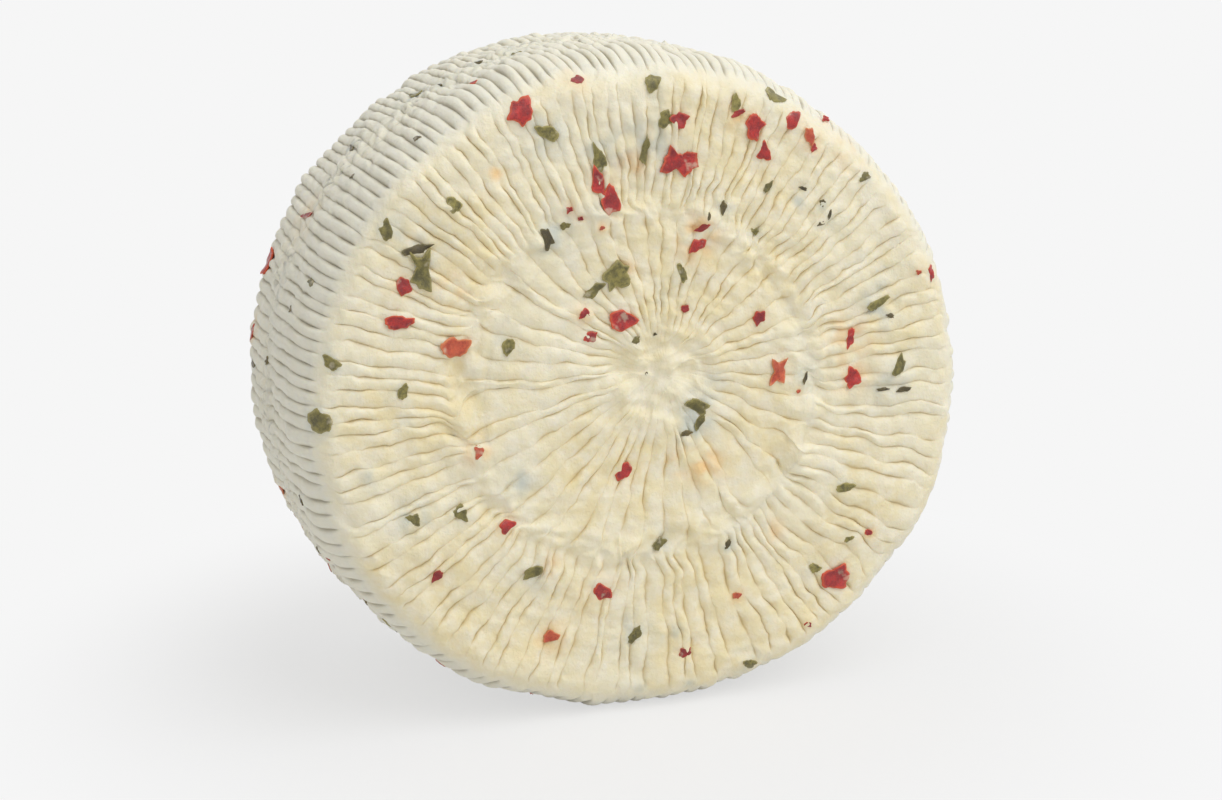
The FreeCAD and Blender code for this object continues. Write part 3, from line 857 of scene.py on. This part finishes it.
# Each kind of chip: its deep, bright and thin colours and its least roughness.
KINDS = {
    "red": (srgb(140, 20, 26), srgb(204, 44, 36), srgb(236, 100, 54), 0.20),
    "orange": (srgb(190, 70, 44), srgb(222, 104, 66), srgb(236, 150, 92), 0.22),
    "green": (srgb(88, 82, 36), srgb(154, 143, 72), srgb(180, 168, 102), 0.28),
    "dark": (srgb(66, 56, 28), srgb(108, 94, 46), srgb(140, 128, 80), 0.36),
}
PALE_FILM = srgb(226, 214, 186)


def kind_material(kind):
    """The one material of a kind of chip, made when first asked for."""
    name = "dried_" + kind
    if name in bpy.data.materials:
        return bpy.data.materials[name]
    return dried_material(name, *KINDS[kind])


# ---- settings


def length_setting(name, description, default):
    """A length in metres."""
    return bpy.props.FloatProperty(
        name=name, description=description, default=default, unit="LENGTH", subtype="DISTANCE"
    )


def colour_setting(name, description, default):
    """A colour in linear light."""
    return bpy.props.FloatVectorProperty(
        name=name, description=description, default=default, subtype="COLOR", size=3, min=0, max=1
    )


class WheelSizes(bpy.types.PropertyGroup):
    radius: length_setting("Radius", "Mean radius of the slumped outline", 0.09565)
    thickness: length_setting("Thickness", "Between the crests of the two faces", 0.0875)
    ridge_depth: length_setting("Ridge depth", "Of the creases on the faces", 0.00098)
    rib_depth: length_setting("Rib depth", "Of the creases round the side", 0.00112)
    lump_depth: length_setting("Lump depth", "Of the slow unevenness of the rind", 0.0010)
    seed: bpy.props.IntProperty(name="Seed", description="Start of every random draw", default=7)

    def key(self):
        """The surface functions' arguments, in mm."""
        lengths = (self.radius, self.thickness, self.ridge_depth, self.rib_depth, self.lump_depth)
        return (*(round(v / MM, 4) for v in lengths), self.seed)


class RindColours(bpy.types.PropertyGroup):
    cream: colour_setting("Cream", "Main colour of the rind", srgb(240, 231, 200))
    butter: colour_setting("Butter", "Slow yellower patches", srgb(238, 224, 181))
    milk: colour_setting("Milk", "Quick pale patches", srgb(246, 240, 222))
    # the faces' crease colour: partly the rind's own ochre, partly painted shade
    crease: colour_setting("Crease", "In the creases of the faces", srgb(219, 198, 146))
    # painted shade for the side's creases
    rib_crease_shade: colour_setting("Rib crease", "In the creases of the side", srgb(180, 171, 146))
    # partly the side's own paler tone, partly the grey of its shade painted in
    chalk_and_side_shade: colour_setting("Chalk", "Paler, greyer rind round the side", srgb(238, 235, 219))
    # painted shade for the cracks round the side, also a darker tone on the gristle's crests
    crumb_and_crack_shade: colour_setting("Crumb", "In the cracks round the side", srgb(146, 146, 138))
    buried: colour_setting("Buried herb", "Where herbs lie under the skin", srgb(196, 202, 194))
    stain: colour_setting("Stain", "Pepper oil in the rind", srgb(240, 196, 130))


class StageSettings(bpy.types.PropertyGroup):
    backdrop: colour_setting("Backdrop", "Background that the camera sees", srgb(246, 246, 246))
    key_power: bpy.props.FloatProperty(
        name="Key lamp", description="Power of the lamp above right", default=24.2, unit="POWER"
    )
    sky: bpy.props.FloatProperty(
        name="Sky", description="Strength of the room's even light", default=0.56
    )


# ---- operators


class PECORINO_OT_rind(bpy.types.Operator):
    """Builds the rind in six zones and lets them stand for the wheel"""

    bl_idname = "pecorino.rind"
    bl_label = "Rind"

    def execute(self, context):
        key = context.scene.pecorino_sizes.key()
        points, normals, marks = wheel_surface(*key)
        charts = wheel_charts(*key)
        stains = self.stains(points, charts, key)
        turn = wheel_rows()[1][:, None]
        # the side's share, which takes the paler, greyer tone that is partly painted shade
        around = ease(0.25, 0.9, turn) + np.zeros(stains.shape[:2])
        shade = np.stack([stains[..., 1], around, stains[..., 0]], -1)
        material = rind_material(context.scene.pecorino_colours)
        for name, (first, last) in ZONES.items():
            places, own_normals, own_marks, own_shade = (
                part[first : last + 1].reshape(-1, 3) for part in (points, normals, marks, shade)
            )
            at_back = last == len(points) - 1
            faces = band_faces(last - first + 1, COLUMNS, first == 0, at_back)
            attributes = {"marks": own_marks, "shade": own_shade}
            piece = add_piece(name, places, faces, material, own_normals, attributes)
            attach(piece, ROOT)
            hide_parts("wheel")
        return {"FINISHED"}

    @staticmethod
    def stains(points, charts, key):
        """How much pepper oil and how much herb shade every rind point has: bells of the distance
        to each flake, broken up by noise."""
        rng = np.random.default_rng(key[-1] + 500)
        oil = np.zeros(points.shape[:2])
        shade = np.zeros(points.shape[:2])
        for kind, chart, u, v, length, *_ in flake_places(key[1], key[-1]):
            centre = on_chart(charts, chart, np.array([u]), np.array([v]), 0)[0]
            strength, spread = rng.uniform(0.15, 0.75), length * rng.uniform(0.6, 1.0)
            add_bell(oil if kind in ("red", "orange") else shade, points, centre, spread, strength)
        for chart in ("front", "back"):
            for _ in range(STAINS):
                clock = rng.uniform(0, 2 * np.pi)
                reach = STAINS_REACH * np.sqrt(rng.uniform(0.02, 1))
                place = np.array([reach * np.cos(clock)]), np.array([reach * np.sin(clock)])
                centre = on_chart(charts, chart, *place, 0)[0]
                target = oil if rng.uniform() < 0.45 else shade
                add_bell(target, points, centre, rng.uniform(2, 5), rng.uniform(0.35, 0.8))
        broken = np.clip(0.6 + 0.45 * waves(points, 5.5, key[-1] + 21), 0, 1)
        return np.stack([np.clip(oil * broken, 0, 0.8), np.clip(shade * broken, 0, 0.75)], -1)


def add_bell(field, points, centre, spread, strength):
    """Adds strength times a bell of the distance from the centre, only on the rows that it
    reaches."""
    near = np.abs(points - centre).max(-1) < 2.5 * spread
    rows = np.flatnonzero(near.any(1))
    if len(rows) == 0:
        return
    span = slice(rows[0], rows[-1] + 1)
    apart = ((points[span] - centre) ** 2).sum(-1)
    field[span] += strength * np.exp(-apart / spread**2)


class PECORINO_OT_chips(bpy.types.Operator):
    """Builds each large chip as a curled, wrinkled plate on its own node's place and corners"""

    bl_idname = "pecorino.chips"
    bl_label = "Large chips"

    def execute(self, context):
        key = context.scene.pecorino_sizes.key()
        charts = wheel_charts(*key)
        for number, (name, node) in enumerate(sorted(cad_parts.items())):
            if name == "wheel":
                continue
            rng = np.random.default_rng(key[-1] + 900 + number)
            kind = chip_kind(name)
            chart, u, v, corners = self.plate(node)
            if name in BAYED:
                corners = np.array(BAYED[name]) * np.ptp(corners, axis=0) / 2
                corners = corners[np.argsort(np.arctan2(corners[:, 1], corners[:, 0]))]
            *sheet, edge = chip_sheet(CHIP_SHARE * corners, CHIP_THICKNESS, 0.10, rng, CHIP_GRID)
            points, faces = laid_skin(charts, chart, u, v, 0, sheet, CHIP_LIFT)
            tone = np.clip(0.5 + 0.5 * waves(points, 6, number + 40), 0, 1) * rng.uniform(0.2, 0.8)
            marks = {"edge": np.stack([edge, tone], -1).reshape(-1, 2)}
            material = kind_material(kind)
            piece = add_piece(name + "_chip", points.reshape(-1, 3), faces, material, None, marks)
            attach(piece, ROOT)
            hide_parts(name)
        return {"FINISHED"}

    @staticmethod
    def plate(node):
        """Reads a node's flat plate: the chart it lies on, its place, and its corners about it,
        which are its points seen flat, in order round it. Of points less than 0.12 radians apart
        the last is kept."""
        count = len(node.data.vertices)
        points = np.empty(count * 3)
        node.data.vertices.foreach_get("co", points)
        points = points.reshape(-1, 3) / MM
        points[:, 2] -= PLATES_MIDDLE
        centre = (points.min(0) + points.max(0)) / 2
        if np.ptp(points[:, 1]) < 5:
            chart, flat = "front", points[:, [0, 2]]
            u, v = centre[0], centre[2]
        else:
            chart = "side"
            angle = np.arctan2(points[:, 2], points[:, 0]) % (2 * np.pi)
            flat = np.stack([angle * SIDE_REACH, points[:, 1]], -1)
            u, v = (flat.min(0) + flat.max(0)) / 2
        corners = np.unique(np.round(flat - [u, v], 2), axis=0)
        turn = np.arctan2(corners[:, 1], corners[:, 0])
        corners = corners[np.argsort(turn)]
        turn = np.sort(turn)
        apart = np.diff(np.append(turn, turn[0] + 2 * np.pi)) > 0.12
        return chart, u, v, corners[apart]


def chip_kind(name):
    """Which kind of chip a node is, from its name."""
    if name.startswith("herb"):
        return "green"
    return "orange" if name in ("pepper_pale", "pepper_right") else "red"


class PECORINO_OT_flakes(bpy.types.Operator):
    """Builds the small flakes, one piece for each kind"""

    bl_idname = "pecorino.flakes"
    bl_label = "Small flakes"

    def execute(self, context):
        key = context.scene.pecorino_sizes.key()
        charts = wheel_charts(*key)
        for kind in KINDS:
            points, faces, marks = [], [], []
            rng = np.random.default_rng(key[-1] + 300 + len(kind))
            for kind_here, chart, u, v, length, width, turn in flake_places(key[1], key[-1]):
                if kind_here != kind:
                    continue
                corners = random_corners(length, width, rng, int(rng.integers(4, 8)))
                *sheet, edge = chip_sheet(corners, 0.45 + 0.03 * width, 0.05, rng, FLAKE_GRID)
                lift = rng.uniform(-0.08, 0.14)
                skin, skin_faces = laid_skin(charts, chart, u, v, turn, sheet, lift)
                faces.append(skin_faces + len(points) * edge.size)
                points.append(skin.reshape(-1, 3))
                tone = np.full(edge.shape, rng.uniform(0, 1) ** 1.5)
                marks.append(np.stack([edge, tone], -1).reshape(-1, 2))
            points, faces, marks = (np.concatenate(parts) for parts in (points, faces, marks))
            name, material = kind + "_flakes", kind_material(kind)
            piece = add_piece(name, points, faces, material, None, {"edge": marks})
            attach(piece, ROOT)
        return {"FINISHED"}


class PECORINO_OT_stage(bpy.types.Operator):
    """Sets the floor, the soft light and the camera"""

    bl_idname = "pecorino.stage"
    bl_label = "Stage"

    def execute(self, context):
        scene = context.scene
        settings = scene.pecorino_stage
        self.floor(settings)
        self.sky(scene, settings)
        middle = Vector((0, 0, middle_height(scene.pecorino_sizes.key()[0]) * MM))
        self.lamp(middle, settings.key_power)
        scene.camera = self.camera(middle)
        scene.view_settings.view_transform = "Standard"
        return {"FINISHED"}

    @staticmethod
    def floor(settings):
        """A disc whose far part the camera sees in the backdrop's colour, and whose near part
        keeps the shadow."""
        turn = np.linspace(0, 2 * np.pi, 96, endpoint=False)
        reach = np.array([0.02, 0.1, 0.2, 0.35, 0.6, 1.2, 3.0, 9.0])[:, None]
        x, y = reach * np.cos(turn), reach * np.sin(turn)
        points = np.stack([x, y, np.zeros_like(x)], -1).reshape(-1, 3) / MM
        grid = np.arange(x.size).reshape(x.shape)
        a, b = grid[:-1], grid[1:]
        a_next, b_next = np.roll(a, -1, 1), np.roll(b, -1, 1)
        faces = np.stack([a, b, b_next, a_next], -1).reshape(-1, 4)
        faces = np.concatenate([faces, [[0, grid[0, 24], grid[0, 48], grid[0, 72]]]])
        shader = Shader(bpy.data.materials.new("pale_floor"))
        place = shader.node("ShaderNodeTexCoord").outputs["Object"]
        far = shader.number("ShaderNodeVectorMath", {"operation": "LENGTH"}, {0: place}, "Value")
        bare = shader.seen() * (0.68 + 0.32 * far.between(0.09, 0.20))
        dull = shader.node("ShaderNodeBsdfDiffuse", {}, {"Color": (0.78, 0.78, 0.78, 1)})
        backdrop = {"Color": (*settings.backdrop, 1), "Strength": 1.0}
        bright = shader.node("ShaderNodeEmission", {}, backdrop)
        layers = {0: bare, 1: dull.outputs[0], 2: bright.outputs[0]}
        mixed = shader.node("ShaderNodeMixShader", {}, layers)
        floor = add_piece("floor", points, faces, shader.finish(mixed.outputs[0]))

    @staticmethod
    def sky(scene, settings):
        """An even pale room, seen by the camera in the backdrop's colour."""
        scene.world = bpy.data.worlds.new("room")
        shader = Shader(scene.world)
        even = {"Color": (1, 1, 1, 1), "Strength": settings.sky}
        room = shader.node("ShaderNodeBackground", {}, even)
        seen = shader.node("ShaderNodeBackground", {}, {"Color": (*settings.backdrop, 1)})
        layers = {0: shader.seen(), 1: room.outputs[0], 2: seen.outputs[0]}
        mixed = shader.node("ShaderNodeMixShader", {}, layers)
        shader.node("ShaderNodeOutputWorld", {}, {"Surface": mixed.outputs[0]})

    def lamp(self, middle, power):
        """A square soft lamp above the wheel's right, in front of it."""
        data = bpy.data.lights.new("key_lamp", "AREA")
        data.size = 1.9
        data.energy = power
        self.aim("key_lamp", data, middle + Vector((0.64, -0.85, 1.60)), middle)

    def camera(self, middle):
        """The camera stands 12 degrees above the wheel's middle and 19 degrees to the left of its
        front, and looks a little below and to the right of the middle."""
        azimuth, elevation, distance = np.radians(-19.22), np.radians(12.0), 0.6255
        right = Vector((np.cos(azimuth), np.sin(azimuth), 0))
        level = Vector((np.sin(azimuth), -np.cos(azimuth), 0))
        back = level * np.cos(elevation) + Vector((0, 0, np.sin(elevation)))
        target = middle + right * 0.0030 - back.cross(right) * 0.0103
        data = bpy.data.cameras.new("camera")
        data.lens = 62.9
        data.sensor_width = 36
        return self.aim("camera", data, middle + back * distance, target)

    @staticmethod
    def aim(name, data, place, target):
        """Puts a lamp or camera at its place, looking at the target with its top upwards."""
        thing = bpy.data.objects.new(name, data)
        thing.location = place
        thing.rotation_euler = (target - place).to_track_quat("-Z", "Y").to_euler()
        bpy.context.scene.collection.objects.link(thing)
        return thing


class PECORINO_PT_panel(bpy.types.Panel):
    """Settings and steps of the pecorino wheel"""

    bl_idname = "PECORINO_PT_panel"
    bl_label = "Pecorino"
    bl_space_type = "VIEW_3D"
    bl_region_type = "UI"
    bl_category = "Pecorino"

    def draw(self, context):
        layout = self.layout
        for place, group in GROUPS.items():
            box = layout.box()
            for name in group.__annotations__:
                box.prop(getattr(context.scene, place), name)
        for operator in OPERATORS:
            layout.operator(operator.bl_idname)


OPERATORS = (PECORINO_OT_rind, PECORINO_OT_chips, PECORINO_OT_flakes, PECORINO_OT_stage)
GROUPS = {
    "pecorino_sizes": WheelSizes,
    "pecorino_colours": RindColours,
    "pecorino_stage": StageSettings,
}
CLASSES = (*GROUPS.values(), *OPERATORS, PECORINO_PT_panel)


def register():
    for each in CLASSES:
        bpy.utils.register_class(each)
    for name, group in GROUPS.items():
        setattr(bpy.types.Scene, name, bpy.props.PointerProperty(type=group))


def unregister():
    for name in GROUPS:
        delattr(bpy.types.Scene, name)
    for each in reversed(CLASSES):
        bpy.utils.unregister_class(each)


def main():
    """Registers the add-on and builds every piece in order."""
    register()
    bpy.ops.pecorino.rind()
    bpy.ops.pecorino.chips()
    bpy.ops.pecorino.flakes()
    bpy.ops.pecorino.stage()


if __name__ == "__main__":
    main()
